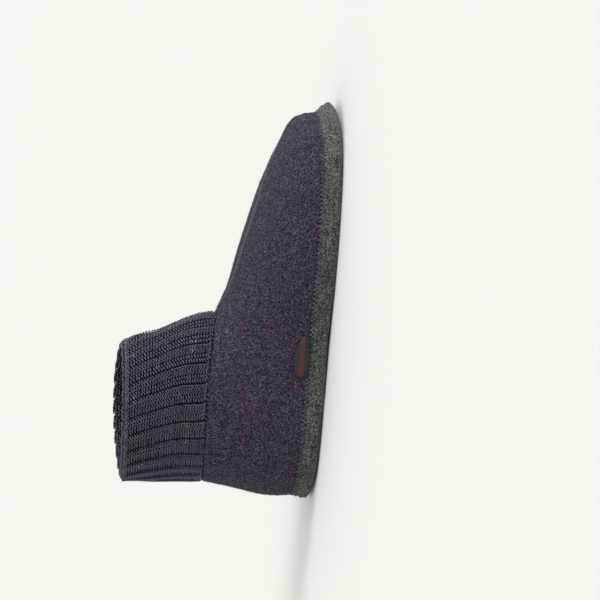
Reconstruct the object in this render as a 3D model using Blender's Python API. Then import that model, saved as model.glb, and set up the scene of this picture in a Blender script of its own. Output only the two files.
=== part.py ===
# Wool slipper for the right foot: felt cup sole, insole, boiled wool upper, ribbed knit cuff and side tab.
# The toe points along +Y, the outer side of the foot along +X, and the sole stands on Z = 0.
# Working lengths are in millimetres, and each mesh is scaled to metres when it is made.

import math

import bmesh
import bpy
import numpy as np

MM = 0.001

# Driving sizes of the last, in millimetres
SOLE_LENGTH = 285.0
BALL_WIDTH = 106.0
INSTEP_HEIGHT = 78.0
SIDE_HEIGHT = 84.0
HEEL_HEIGHT = 80.0
COLLAR_LENGTH = 121.0

# Sole: a cup with a rolled lower edge and a side band
SOLE_THICKNESS = 6.0
BAND_HEIGHT = 13.0
TOE_BAND_HEIGHT = 15.5
BAND_WALL = 3.2
SIDE_LEAN = 2.0
TOE_LEAN = 7.5
SIDE_ROLL = 5.0
END_ROLL = 12.0
ROLL_HEIGHT = 5.5
TOE_SPRING = 1.5
SPRING_START = 0.74
ARCH_RISE = 1.2
ARCH_START = 0.29
ARCH_END = 0.54

# Insole
INSOLE_THICKNESS = 3.0
INSOLE_CLEARANCE = 0.7

# Upper
UPPER_WALL = 3.0
SIDE_BULGE = 1.6
PIVOT_SHARE = 0.55
MITRE_TIP = 38.0
CROWN_SHIFT = 6.0
SEAM_WIDTH = 3.0
SEAM_SLOPE = 1.2
SEAM_HEIGHT = 1.2

# Cuff
CUFF_FRONT_RISE = 65.0
CUFF_OUTER_RISE = 57.5
CUFF_INNER_RISE = 61.5
CUFF_HEEL_RISE = 57.0
CUFF_WALL = 4.4
RIM_LENGTH = 98.0
RIM_WIDTH = 78.0
RIM_STATION = 5.0
RIM_SQUARENESS = 0.9
RIB_COUNT = 24
RIB_DEPTH = 1.6
RIB_SWAY = 1.4
RIB_TWIST = 12.5
RIB_SPREAD = 10.0

# Side tab
TAB_LENGTH = 29.0
TAB_HEIGHT = 11.0
TAB_THICKNESS = 1.2
TAB_STATION = 87.0
TAB_TAPER = 0.3

GAP = 0.3

# Plan outline of the sole, from the heel end to the toe end.
# station: share of the sole length; outer, inner: half widths as shares of the ball width
SOLE_OUTLINE = [
    # station, outer, inner
    (0.000, 0.000, 0.000),
    (0.019, 0.168, 0.152),
    (0.071, 0.312, 0.304),
    (0.146, 0.372, 0.376),
    (0.259, 0.412, 0.381),
    (0.398, 0.451, 0.350),
    (0.505, 0.513, 0.364),
    (0.611, 0.556, 0.414),
    (0.728, 0.555, 0.438),
    (0.826, 0.514, 0.431),
    (0.904, 0.418, 0.375),
    (0.944, 0.326, 0.318),
    (0.976, 0.204, 0.240),
    (1.000, -0.028, 0.028),
]

# Crown of the upper along the vamp. Behind the throat (negative stations) the crown is open, and its
# height only sets how far the quarters lean in at the collar.
# station: share of the vamp length ahead of the throat; height: share of the instep's rise over the
# sole seam, and what goes over 1 is a share of the side's rise; fullness: power of the section's curve,
# where 2 is an ellipse
CROWN = [
    # station, height, fullness
    (-0.90, 3.65, 2.3),
    (-0.50, 2.73, 2.3),
    (-0.27, 1.87, 2.2),
    (-0.12, 1.30, 2.1),
    (-0.04, 1.080, 2.0),
    (0.000, 1.006, 2.0),
    (0.081, 0.922, 2.0),
    (0.250, 0.824, 2.0),
    (0.446, 0.711, 2.1),
    (0.628, 0.592, 2.2),
    (0.845, 0.403, 2.4),
    (0.919, 0.318, 2.5),
    (0.959, 0.240, 2.5),
    (0.982, 0.150, 2.5),
    (1.000, 0.000, 2.5),
]

# Centre seam of the vamp, which runs beside the crown on the outer side.
# station: share of the vamp length ahead of the throat; offset: share of the ball width from the crown
SEAM_LINE = [
    # station, offset
    (0.00, 0.028),
    (0.10, 0.104),
    (0.20, 0.142),
    (0.30, 0.160),
    (0.40, 0.182),
    (0.56, 0.185),
    (0.68, 0.148),
    (0.80, 0.106),
    (0.94, 0.050),
    (1.00, 0.020),
]

# Back of the heel above the sole seam.
# height: share of the rise to the collar; forward: share of the collar length, from the seam's own place
HEEL_CURVE = [
    # height, forward
    (0.00, 0.000),
    (0.12, -0.011),
    (0.30, -0.014),
    (0.55, 0.004),
    (0.80, 0.028),
    (1.00, 0.046),
]

# Front edge of the cuff.
# height: share of the cuff's rise; lean: share of the way back from the throat to the rim
CUFF_LEAN = [
    # height, lean
    (0.00, 0.00),
    (0.16, 0.10),
    (0.33, 0.27),
    (0.49, 0.48),
    (0.66, 0.68),
    (0.78, 0.74),
    (0.89, 0.84),
    (1.00, 1.00),
]

# Section of the sole's side band above the roll.
# height: share of the band above the roll; lean: share of the band's lean
BAND_SECTION = [
    # height, lean
    (0.00, 0.00),
    (0.18, 0.06),
    (0.34, 0.42),
    (0.72, 0.66),
    (1.00, 1.00),
]

HALF_COLUMNS = 34
COLUMNS_PER_RIB = 5
DENSE = 721


def column(table, index):
    return np.array([row[index] for row in table])


def smooth(stations, values, at):
    """Smooth curve through a table's points."""
    at = np.asarray(at, dtype=float)
    slopes = np.gradient(values, stations)
    i = np.clip(np.searchsorted(stations, at, side="right") - 1, 0, len(stations) - 2)
    step = stations[i + 1] - stations[i]
    u = np.clip((at - stations[i]) / step, 0.0, 1.0)
    return (
        (1 + 2 * u) * (1 - u) ** 2 * values[i]
        + u * (1 - u) ** 2 * step * slopes[i]
        + u**2 * (3 - 2 * u) * values[i + 1]
        + u**2 * (u - 1) * step * slopes[i + 1]
    )


def ease(value):
    """Soft step from 0 to 1."""
    value = np.clip(value, 0.0, 1.0)
    return value * value * (3 - 2 * value)


def toe_weight(angle):
    """1 at the toe, falling to 0 along the sides. Angles run from the heel over the outer side to the toe."""
    return np.clip(-np.cos(angle), 0, 1) ** 3


def heel_weight(angle):
    return np.clip(np.cos(angle), 0, 1) ** 3


# Plan of the sole

def plan_point(angle):
    """Point of the sole's outline: the angle goes once around, 0 at the heel and pi at the toe."""
    angle = np.mod(angle, 2 * math.pi)
    table_angle = np.arccos(1 - 2 * column(SOLE_OUTLINE, 0))
    outer = column(SOLE_OUTLINE, 1)
    inner = -column(SOLE_OUTLINE, 2)
    around = np.concatenate([table_angle, 2 * math.pi - table_angle[-2:0:-1]])
    side = np.concatenate([outer, inner[-2:0:-1]])
    around = np.concatenate([around[-3:] - 2 * math.pi, around, around[:3] + 2 * math.pi])
    side = np.concatenate([side[-3:], side, side[:3]])
    x = BALL_WIDTH * smooth(around, side, angle)
    y = SOLE_LENGTH * (1 - np.cos(angle)) / 2
    return np.stack([x, y], axis=-1)


def outline(angle, inset):
    """Outline of the sole moved inwards, square to itself."""
    angle = np.asarray(angle, dtype=float)
    nudge = 0.01
    along = plan_point(angle + nudge) - plan_point(angle - nudge)
    along /= np.linalg.norm(along, axis=-1, keepdims=True)
    inward = np.stack([-along[..., 1], along[..., 0]], axis=-1)
    return plan_point(angle) + inward * np.asarray(inset)[..., None]


def band_lean(angle):
    """How far the top of the side band stands in from the outline."""
    return SIDE_LEAN + (TOE_LEAN - SIDE_LEAN) * toe_weight(angle)


def band_top(angle):
    return BAND_HEIGHT + (TOE_BAND_HEIGHT - BAND_HEIGHT) * toe_weight(angle)


def bottom_height(y):
    """Height of the sole's underside: flat at heel and ball, with an arch between and toe spring ahead."""
    q = y / SOLE_LENGTH
    spring = TOE_SPRING * np.clip((q - SPRING_START) / (1 - SPRING_START), 0, 1) ** 2
    arch = ARCH_RISE * np.sin(math.pi * np.clip((q - ARCH_START) / (ARCH_END - ARCH_START), 0, 1)) ** 2
    return spring + arch


# Surface of the upper

SEAT_LINE = GAP + BAND_HEIGHT
HEEL_SEAT = SIDE_LEAN
TOE_SEAT = SOLE_LENGTH - TOE_LEAN
THROAT = HEEL_SEAT + COLLAR_LENGTH + COLLAR_LENGTH * HEEL_CURVE[-1][1]
VAMP_LENGTH = TOE_SEAT - THROAT
PIVOT = PIVOT_SHARE * COLLAR_LENGTH
dense_angle = np.linspace(0, math.pi, DENSE)
OUTER_SEAT = outline(dense_angle, band_lean(dense_angle))
INNER_SEAT = outline(-dense_angle, band_lean(dense_angle))


def crown_height(y):
    """Height of the crown at a station along the foot."""
    base = TOE_BAND_HEIGHT + GAP
    share = smooth(column(CROWN, 0), column(CROWN, 1), (y - THROAT) / VAMP_LENGTH)
    vamp = np.minimum(share, 1.0) * (INSTEP_HEIGHT - base)
    behind = np.maximum(share - 1.0, 0.0) * (SIDE_HEIGHT - base)
    return base + vamp + behind


def crown_line(y):
    """Sideways place of the crown, from the toe's tip over the foot's inner ridge to mid heel."""
    ridge = CROWN_SHIFT * np.sin(math.pi * np.clip((y - THROAT) / VAMP_LENGTH, 0, 1)) ** 2
    return OUTER_SEAT[-1][0] * np.clip(y / TOE_SEAT, 0, 1) ** 2 - ridge


def collar_height(angle):
    front = ((1 - np.cos(angle)) / 2) ** 4
    back = ((1 + np.cos(angle)) / 2) ** 3
    return SIDE_HEIGHT + (INSTEP_HEIGHT - SIDE_HEIGHT) * front + (HEEL_HEIGHT - SIDE_HEIGHT) * back


def loop_height(angle, share):
    """Height of the upper's loops, which lie level at first and take the collar's own line at the top."""
    seat = band_top(angle) + GAP
    return seat + (INSTEP_HEIGHT - seat) * share + (collar_height(angle) - INSTEP_HEIGHT) * share**4


def loop_ends(share):
    """Rear and front ends of the upper's loop at this share of its height."""
    rear = HEEL_SEAT + COLLAR_LENGTH * smooth(column(HEEL_CURVE, 0), column(HEEL_CURVE, 1), share)
    stations = np.linspace(TOE_SEAT, THROAT, DENSE)
    front = np.interp(loop_height(math.pi, share), crown_height(stations), stations)
    return rear, front


def half_width(y, height, seat, rear, share, side):
    """Distance from the crown line to the wall, for side 1 (outer) or -1 (inner)."""
    seat_line = OUTER_SEAT if side > 0 else INNER_SEAT
    stretch = (PIVOT - HEEL_SEAT) / (PIVOT - rear)
    station = np.where(y < PIVOT, PIVOT - (PIVOT - y) * stretch, y)
    width = side * np.interp(station, seat_line[:, 1], seat_line[:, 0]) - side * crown_line(y)
    full = smooth(column(CROWN, 0), column(CROWN, 2), (y - THROAT) / VAMP_LENGTH)
    rise = np.maximum(crown_height(y) - seat, 0.01)
    u = np.clip((height - seat) / rise, 0, 1)
    bulge = SIDE_BULGE * math.sin(math.pi * min(1.0, share / 0.75)) ** 2
    ends = np.clip(width / (0.25 * BALL_WIDTH), 0, 1)
    return (width + bulge * ends) * (1 - u**full) ** (1 / full)


def wall_point(angle, share):
    """Outer face of the upper at an angle around and a share of the way from sole seam to collar."""
    angle = np.asarray(angle, dtype=float)
    rear, front = loop_ends(share)
    y = rear + (front - rear) * (1 - np.cos(angle)) / 2
    height = loop_height(angle, share)
    seat = loop_height(angle, 0.0)
    outer = half_width(y, height, seat, rear, share, 1)
    inner = half_width(y, height, seat, rear, share, -1)
    x = crown_line(y) + np.where(np.sin(angle) >= 0, outer, -inner)
    return np.stack([x, y, height], axis=-1)


def seam_angle(share, reach):
    """Angle at which the loop lies a given distance beside the centre seam, more for the outer side."""
    angle = np.linspace(math.pi / 2, 3 * math.pi / 2, DENSE)
    points = wall_point(angle, share)
    ahead = (points[:, 1] - THROAT) / VAMP_LENGTH
    offset = BALL_WIDTH * smooth(column(SEAM_LINE, 0), column(SEAM_LINE, 1), ahead)
    past = crown_line(points[:, 1]) + offset - points[:, 0]
    return float(np.interp(-reach, np.maximum.accumulate(past), angle))


def column_angles(share):
    """Angles of a loop's columns, and how much of the seam's height each carries.

    Five columns follow the raised centre seam, so that it keeps its width up to the throat.
    """
    foot = SEAM_WIDTH / 2 + SEAM_SLOPE
    top = SEAM_WIDTH / 2
    spread = np.linspace(0, 1, HALF_COLUMNS + 1)
    outer = spread * seam_angle(share, foot)
    inner = 2 * math.pi - spread[::-1] * (2 * math.pi - seam_angle(share, -foot))
    strip = [seam_angle(share, reach) for reach in (top, 0.0, -top)]
    angles = np.concatenate([outer, strip, inner[:-1]])
    raised = np.zeros(len(angles))
    raised[HALF_COLUMNS + 1 : HALF_COLUMNS + 4] = (0.85, 1.0, 0.85)
    return angles, raised


def wall_normal(angles, share):
    """Outward direction of the upper's wall."""
    nudge = 0.02
    around = wall_point(angles + nudge, share) - wall_point(angles - nudge, share)
    low = max(0.0, share - nudge)
    high = min(1.0, share + nudge)
    up = wall_point(angles, high) - wall_point(angles, low)
    normal = np.cross(around, up)
    return normal / np.linalg.norm(normal, axis=-1, keepdims=True)


def level(normal):
    """The same direction, laid flat."""
    flat = normal * (1, 1, 0)
    return flat / np.linalg.norm(flat, axis=-1, keepdims=True)


def mitre(points, flat_normal):
    """Inward direction of the seam between upper and cuff, which tips down at the throat."""
    rear, front = loop_ends(1.0)
    ahead = np.clip(2 * (points[:, 1] - rear) / (front - rear) - 1, 0, 1)
    tip = math.radians(MITRE_TIP) * ahead[:, None] ** 4
    return -flat_normal * np.cos(tip) - np.array([0, 0, 1.0]) * np.sin(tip)


def upper_loop(share, inside):
    angles, raised = column_angles(share)
    points = wall_point(angles, share)
    normal = wall_normal(angles, share)
    if inside:
        if share == 0.0:
            return points - level(normal) * UPPER_WALL
        if share == 1.0:
            return points + mitre(points, level(normal)) * UPPER_WALL
        return points - normal * UPPER_WALL
    fade = ease(share / 0.12) * ease((1 - share) / 0.06)
    return points + normal * (SEAM_HEIGHT * fade * raised)[:, None]


# Surface of the cuff

def rim_point(turn):
    """Rim of the cuff: a rounded oval over the heel, at a share of its length around."""
    around = np.linspace(0, 2 * math.pi, DENSE)
    x = RIM_WIDTH / 2 * np.sign(np.sin(around)) * np.abs(np.sin(around)) ** RIM_SQUARENESS
    y = RIM_STATION + RIM_LENGTH * (1 - np.cos(around)) / 2
    return resample(np.stack([x, y, np.zeros(DENSE)], axis=-1), turn)


def resample(points, turn):
    """Points at shares of the way around: each half, from the heel to the front, is divided evenly."""
    middle = len(points) // 2
    out = []
    for half, start in ((points[: middle + 1], 0.0), (points[middle:], 0.5)):
        run = np.concatenate([[0], np.cumsum(np.linalg.norm(np.diff(half[:, :2], axis=0), axis=1))])
        part = (turn - start) / 0.5
        place = np.stack([np.interp(part, run / run[-1], half[:, k]) for k in range(3)], axis=-1)
        out.append(place)
    return np.where((turn < 0.5)[:, None], out[0], out[1])


def collar_point(turn):
    """Collar of the upper, at a share of the way around."""
    around = np.linspace(0, 2 * math.pi, DENSE)
    loop = wall_point(around, 1.0)
    return resample(loop, turn)


def rib_turns(height):
    """Shares of the way around of the cuff's columns; the ribs sway and twist as they rise.

    Low down they are stretched wider over the instep and stand closer at the heel.
    """
    count = RIB_COUNT * COLUMNS_PER_RIB
    girth = math.pi * (RIM_LENGTH + RIM_WIDTH) / 2
    turn = np.arange(count) / count
    sway = RIB_SWAY * math.sin(1.5 * math.pi * height) + RIB_TWIST * (0.5 - height**3)
    spread = RIB_SPREAD * (1 - height**2) * np.sin(2 * math.pi * turn)
    return turn + (sway - spread) / girth


def rib_profile():
    """Height of the knit over a rib, for each column: rounded ridges with a narrow furrow between."""
    phase = np.arange(RIB_COUNT * COLUMNS_PER_RIB) / COLUMNS_PER_RIB
    return 0.6 - np.abs(np.cos(math.pi * phase)) ** 3


def cuff_base(height):
    """Outer face of the cuff without its ribs, its outward direction, and its seam's inward direction."""
    turn = np.mod(rib_turns(height), 1.0)
    low = collar_point(turn)
    high = rim_point(turn)
    lean = float(smooth(column(CUFF_LEAN, 0), column(CUFF_LEAN, 1), height))
    points = low + (high - low) * lean
    ahead = (1 - np.cos(2 * math.pi * turn)) / 2
    tilt = (1 + np.sin(2 * math.pi * turn)) / 2
    side = CUFF_INNER_RISE + (CUFF_OUTER_RISE - CUFF_INNER_RISE) * tilt
    rise = side + (CUFF_FRONT_RISE - side) * ahead**4 + (CUFF_HEEL_RISE - side) * (1 - ahead) ** 2
    rise -= CUFF_WALL / 2
    around = np.roll(points, -1, axis=0) - np.roll(points, 1, axis=0)
    normal = level(np.cross(around, np.array([0, 0, 1.0])))
    seam = mitre(low, normal)
    gap = GAP / np.linalg.norm(seam[:, :2], axis=1)
    points[:, 2] = low[:, 2] + gap + rise * height
    return points, normal, seam


def cuff_loop(height, inside):
    points, normal, seam = cuff_base(height)
    if inside:
        share = ease(height / 0.2)
        return points + (seam * (1 - share) - normal * share) * CUFF_WALL
    grow = 0.15 + 0.85 * ease(height / 0.14)
    return points + normal * (RIB_DEPTH * grow * rib_profile())[:, None]


def rim_loop(turn_angle):
    """Loop of the rim's fold, which turns over from the outer to the inner face."""
    points, normal, _ = cuff_base(1.0)
    radius = CUFF_WALL / 2
    rib = RIB_DEPTH * rib_profile() * max(0.0, math.cos(turn_angle))
    reach = radius * (math.cos(turn_angle) - 1) + rib
    lift = radius * math.sin(turn_angle)
    return points + normal * reach[:, None] + np.array([0, 0, lift])


# Building the solids

def make_object(name, mesh, colour, roughness):
    material = bpy.data.materials.new(name + "_material")
    material.use_nodes = True
    shader = material.node_tree.nodes["Principled BSDF"]
    shader.inputs["Base Color"].default_value = (*colour, 1.0)
    shader.inputs["Roughness"].default_value = roughness
    shader.inputs["Metallic"].default_value = 0.0
    mesh.materials.append(material)
    mesh.shade_smooth()
    mesh.set_sharp_from_angle(angle=math.radians(40))
    piece = bpy.data.objects.new(name, mesh)
    slipper.objects.link(piece)
    return piece


def loft(name, loops, ends):
    """Closed body through loops of equal count. Ends are "ring" where the last loop joins the first,
    "bars" for caps of bars across between the two sides of a loop, and "flat" for plain flat caps."""
    bm = bmesh.new()
    rows = [[bm.verts.new((point - CENTRE) * MM) for point in loop] for loop in loops]
    pairs = list(zip(rows, rows[1:]))
    if ends == "ring":
        pairs.append((rows[-1], rows[0]))
    count = len(rows[0])
    for low, high in pairs:
        for i in range(count):
            j = (i + 1) % count
            bm.faces.new((low[i], low[j], high[j], high[i]))
    for row in (rows[0], rows[-1]):
        if ends == "flat":
            bm.faces.new(row)
        if ends == "bars":
            for i in range(count // 2):
                bar = [row[i], row[i + 1], row[-i - 1], row[-i]]
                bm.faces.new(list(dict.fromkeys(bar)))
    bmesh.ops.recalc_face_normals(bm, faces=bm.faces)
    mesh = bpy.data.meshes.new(name)
    bm.to_mesh(mesh)
    bm.free()
    return mesh


def sole_loop(angle, inset, height):
    """Loop of the sole or insole: a height over the underside of the sole."""
    plan = outline(angle, inset)
    return np.column_stack([plan, bottom_height(plan[:, 1]) + height])


def make_sole():
    angle = np.arange(2 * HALF_COLUMNS) * math.pi / HALF_COLUMNS
    lean = band_lean(angle)
    ends = np.maximum(toe_weight(angle), heel_weight(angle))
    roll = SIDE_ROLL + (END_ROLL - SIDE_ROLL) * ends
    loops = []
    for turn in (0.0, 0.25, 0.5, 0.75):
        arc = turn * math.pi / 2
        loops.append(sole_loop(angle, roll * (1 - math.sin(arc)), ROLL_HEIGHT * (1 - math.cos(arc))))
    shoulder = sole_loop(angle, 0 * lean, ROLL_HEIGHT)
    for share, step in BAND_SECTION:
        loop = sole_loop(angle, lean * step, 0)
        loop[:, 2] = shoulder[:, 2] + (band_top(angle) - shoulder[:, 2]) * share
        loops.append(loop)
    rim = sole_loop(angle, lean + BAND_WALL, 0)
    rim[:, 2] = band_top(angle)
    loops.append(rim)
    loops.append(sole_loop(angle, lean + BAND_WALL + GAP, SOLE_THICKNESS))
    return make_object("sole", loft("sole", loops, "bars"), (0.135, 0.150, 0.128), 0.95)


def make_insole():
    angle = np.arange(2 * HALF_COLUMNS) * math.pi / HALF_COLUMNS
    inset = band_lean(angle) + BAND_WALL + INSOLE_CLEARANCE
    low = SOLE_THICKNESS + GAP
    loops = [
        sole_loop(angle, inset, low),
        sole_loop(angle, inset, low + INSOLE_THICKNESS * 0.7),
        sole_loop(angle, inset + INSOLE_THICKNESS * 0.3, low + INSOLE_THICKNESS),
    ]
    return make_object("insole", loft("insole", loops, "bars"), (0.150, 0.150, 0.150), 0.95)


def make_upper():
    outer = [0.0, 0.05, 0.11, 0.17, 0.24, 0.32, 0.41, 0.51, 0.61, 0.71, 0.80, 0.88, 0.95, 1.0]
    inner = [1.0, 0.86, 0.72, 0.58, 0.44, 0.31, 0.20, 0.10, 0.0]
    loops = [upper_loop(share, inside=False) for share in outer]
    loops += [upper_loop(share, inside=True) for share in inner]
    return make_object("upper", loft("upper", loops, "ring"), (0.052, 0.044, 0.066), 0.95)


def make_cuff():
    outer = [0.0, 0.06, 0.16, 0.28, 0.40, 0.52, 0.64, 0.76, 0.88, 1.0]
    inner = [1.0, 0.72, 0.45, 0.2, 0.0]
    loops = [cuff_loop(height, inside=False) for height in outer]
    loops += [rim_loop(math.radians(turn)) for turn in (45, 90, 135)]
    loops += [cuff_loop(height, inside=True) for height in inner]
    return make_object("cuff", loft("cuff", loops, "ring"), (0.040, 0.036, 0.052), 0.95)


def make_side_tab():
    """Folded ribbon lying up against the outer wall, with its cut ends at the sole seam."""
    loops = []
    low = BAND_HEIGHT + 2 * GAP
    for share in np.linspace(0, 1, 8):
        y = TAB_STATION + TAB_LENGTH * share
        taper = 1 - TAB_TAPER * ease((share - 0.6) / 0.4)
        height = TAB_HEIGHT * (0.86 + 0.14 * math.sin(math.pi * share)) * taper
        fold = TAB_THICKNESS * (1.5 + 0.4 * math.sin(3 * math.pi * share))
        section = [
            (0.0, 0.0),
            (0.0, 0.45),
            (0.0, 0.9),
            (0.5 * fold, 1.0),
            (fold, 0.9),
            (0.5 * (fold + TAB_THICKNESS), 0.45),
            (TAB_THICKNESS, 0.0),
        ]
        loop = []
        for out, up in section:
            z = low + height * up
            share_up = (z - low) / (SIDE_HEIGHT - low)
            wall = half_width(np.array(y), z, SEAT_LINE, HEEL_SEAT, share_up, 1)
            loop.append((crown_line(y) + float(wall) + 2 * GAP + out, y, z))
        loops.append(np.array(loop))
    return make_object("side_tab", loft("side_tab", loops, "flat"), (0.020, 0.026, 0.022), 0.8)


for old in list(bpy.data.objects):
    bpy.data.objects.remove(old, do_unlink=True)
slipper = bpy.data.collections.new("wool_slipper")
bpy.context.scene.collection.children.link(slipper)

whole = plan_point(np.linspace(0, 2 * math.pi, DENSE))
CENTRE = np.append((whole.max(axis=0) + whole.min(axis=0)) / 2, 0.0)

make_sole()
make_insole()
make_upper()
make_cuff()
make_side_tab()
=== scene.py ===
import math

import bmesh
import bpy
import numpy as np
from mathutils import Matrix, Vector
from mathutils.bvhtree import BVHTree


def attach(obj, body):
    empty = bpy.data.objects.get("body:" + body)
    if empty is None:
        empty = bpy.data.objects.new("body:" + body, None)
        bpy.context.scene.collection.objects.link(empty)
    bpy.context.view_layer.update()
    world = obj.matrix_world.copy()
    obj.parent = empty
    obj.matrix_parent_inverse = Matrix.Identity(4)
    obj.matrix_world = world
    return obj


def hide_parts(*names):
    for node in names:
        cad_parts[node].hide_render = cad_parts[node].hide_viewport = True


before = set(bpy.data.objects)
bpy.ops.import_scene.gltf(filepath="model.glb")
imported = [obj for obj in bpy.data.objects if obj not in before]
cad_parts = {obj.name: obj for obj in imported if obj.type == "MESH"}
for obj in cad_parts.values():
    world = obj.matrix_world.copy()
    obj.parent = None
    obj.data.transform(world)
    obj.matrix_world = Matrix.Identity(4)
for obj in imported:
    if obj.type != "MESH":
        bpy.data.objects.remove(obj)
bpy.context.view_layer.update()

dice = np.random.default_rng(24)
mm = 0.001


def linear(hexColour):                      # sRGB hex to linear RGBA
    parts = [int(hexColour[i:i + 2], 16) / 255 for i in (1, 3, 5)]
    return [p / 12.92 if p <= 0.04045 else ((p + 0.055) / 1.055) ** 2.4 for p in parts] + [1.0]


def addNode(tree, kind, inputs=None, stops=None, **settings):
    node = tree.nodes.new("ShaderNode" + kind)
    for key, value in settings.items():
        setattr(node, key, value)
    if stops:                               # a ramp's stops: place, hex colour
        ramp = node.color_ramp.elements
        while len(ramp) < len(stops):
            ramp.new(0.5)
        for element, (place, hexColour) in zip(ramp, stops):
            element.position = place
            element.color = linear(hexColour)
    for key, value in (inputs or {}).items():
        if isinstance(value, bpy.types.NodeSocket):
            tree.links.new(value, node.inputs[key])
        else:
            node.inputs[key].default_value = value
    return node


def newMaterial(name):
    material = bpy.data.materials.new(name)
    material.use_nodes = True
    tree = material.node_tree
    shader = tree.nodes["Principled BSDF"]
    return material, tree, shader


def setShader(tree, shader, values, colour, bump=None):      # plain socket values, then what is linked
    for key, value in values.items():
        shader.inputs[key].default_value = value
    tree.links.new(colour, shader.inputs["Base Color"])
    if bump:
        tree.links.new(bump.outputs["Normal"], shader.inputs["Normal"])


def every(size):                            # a pattern's Scale from the size of its grains in mm
    return 1 / (size * mm)


def newPiece(name, mesh, material):
    piece = bpy.data.objects.new(name, mesh)
    bpy.context.scene.collection.objects.link(piece)
    mesh.materials.clear()
    mesh.materials.append(material)
    mesh.shade_smooth()
    return piece


def bakeModifiers(piece):                   # leaves the modified shape as the piece's own mesh
    graph = bpy.context.evaluated_depsgraph_get()
    mesh = bpy.data.meshes.new_from_object(piece.evaluated_get(graph))
    piece.modifiers.clear()
    piece.data = mesh


def smoothed(piece):                        # two rounds of subdivision, kept in the mesh
    smooth = piece.modifiers.new("smooth", "SUBSURF")
    smooth.levels = smooth.render_levels = 2
    bakeModifiers(piece)


def weldedCopy(node):                       # the CAD solid as one welded mesh of quads
    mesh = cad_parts[node].data.copy()
    bm = bmesh.new()
    bm.from_mesh(mesh)
    bmesh.ops.remove_doubles(bm, verts=bm.verts, dist=0.01 * mm)
    bmesh.ops.join_triangles(bm, faces=bm.faces, angle_face_threshold=math.radians(50),
                             angle_shape_threshold=math.radians(70))
    bm.to_mesh(mesh)
    bm.free()
    return mesh


def rayTree(node):
    bm = bmesh.new()
    bm.from_mesh(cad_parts[node].data)
    tree = BVHTree.FromBMesh(bm)
    bm.free()
    return tree


def pointsOf(mesh):
    flat = np.empty(len(mesh.vertices) * 3)
    mesh.vertices.foreach_get("co", flat)
    return flat.reshape(-1, 3)


def normalsOf(mesh):
    flat = np.empty(len(mesh.vertices) * 3)
    mesh.vertices.foreach_get("normal", flat)
    return flat.reshape(-1, 3)


def setPoints(mesh, points):
    mesh.vertices.foreach_set("co", np.ascontiguousarray(points, dtype=np.float32).ravel())
    mesh.update()


def unit(vectors):
    return vectors / np.maximum(np.linalg.norm(vectors, axis=-1, keepdims=True), 1e-12)


def ease(value):
    value = np.clip(value, 0, 1)
    return value * value * (3 - 2 * value)


def easeFrom(value, start):                 # 0 up to the first number, then rising to 1 over the second
    return ease((value - start[0]) / start[1])


def softNoise(points, size, seed):          # smooth lumps about that wide, roughly -1 to 1: nine crossed waves
    ownDice = np.random.default_rng(seed)
    total = 0
    for wave in range(9):
        way = ownDice.normal(size=3)
        way *= ownDice.uniform(0.7, 1.4) / np.linalg.norm(way)
        total = total + np.sin(points @ way * math.pi / size + ownDice.uniform(0, 2 * math.pi))
    return total / 3.2


# One yarn stitch along Y: 1 long and 1 thick, of that many sides and cuts, with its ends thinner by a share
# and its middle bowed up by another.
def stitchShape(sides, cuts, thin, bow):
    bm = bmesh.new()
    bmesh.ops.create_cone(bm, cap_ends=True, segments=sides, radius1=0.5, radius2=0.5, depth=1,
                          matrix=Matrix.Rotation(math.radians(-90), 4, "X"))
    lengthwise = [e for e in bm.edges if abs(e.verts[0].co.y - e.verts[1].co.y) > 0.5]
    bmesh.ops.subdivide_edges(bm, edges=lengthwise, cuts=cuts)
    yarn = bm.loops.layers.uv.new("yarn")
    for face in bm.faces:                   # around the yarn and along it
        middle = face.calc_center_median()
        facing = math.atan2(middle.z, middle.x)
        for loop in face.loops:
            turn = math.atan2(loop.vert.co.z, loop.vert.co.x) - facing
            turn = (turn + math.pi) % (2 * math.pi) - math.pi + facing
            loop[yarn].uv = (turn / (2 * math.pi), loop.vert.co.y + 0.5)
    for vert in bm.verts:
        end = (2 * vert.co.y) ** 2
        vert.co.x *= 1 - thin * end
        vert.co.z = vert.co.z * (1 - thin * end) + bow * (1 - end)
    mesh = bpy.data.meshes.new("stitchShape")
    bm.to_mesh(mesh)
    bm.free()
    return mesh


# Joins one copy of the shape for each place: where it is, which way it runs and faces, its size and tone.
def sew(name, shape, origin, along, up, size, tone, material):
    count = len(origin)
    base = pointsOf(shape)
    along = unit(along)
    side = unit(np.cross(along, up))
    up = np.cross(side, along)
    points = origin[:, None, :] + sum(axis[:, None, :] * base[None, :, k, None] * size[:, k, None, None]
                                      for k, axis in enumerate((side, along, up)))
    corners = np.empty(len(shape.loops), dtype=np.int32)
    shape.loops.foreach_get("vertex_index", corners)
    starts = np.empty(len(shape.polygons), dtype=np.int32)
    shape.polygons.foreach_get("loop_start", starts)
    mesh = bpy.data.meshes.new(name)
    mesh.vertices.add(count * len(base))
    mesh.vertices.foreach_set("co", points.astype(np.float32).ravel())
    mesh.loops.add(count * len(corners))
    step = np.arange(count)[:, None]
    mesh.loops.foreach_set("vertex_index", (corners + step * len(base)).astype(np.int32).ravel())
    mesh.polygons.add(count * len(starts))
    mesh.polygons.foreach_set("loop_start", (starts + step * len(corners)).astype(np.int32).ravel())
    mesh.update(calc_edges=True)
    mesh.attributes.new("tone", "FLOAT", "POINT").data.foreach_set("value", np.repeat(tone, len(base)))
    if shape.uv_layers:
        flat = np.empty(len(corners) * 2)
        shape.uv_layers[0].data.foreach_get("uv", flat)
        mesh.uv_layers.new(name="yarn").data.foreach_set("uv", np.tile(flat, count))
    mesh.validate()
    piece = newPiece(name, mesh, material)
    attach(piece, "root")
    return piece


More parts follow.
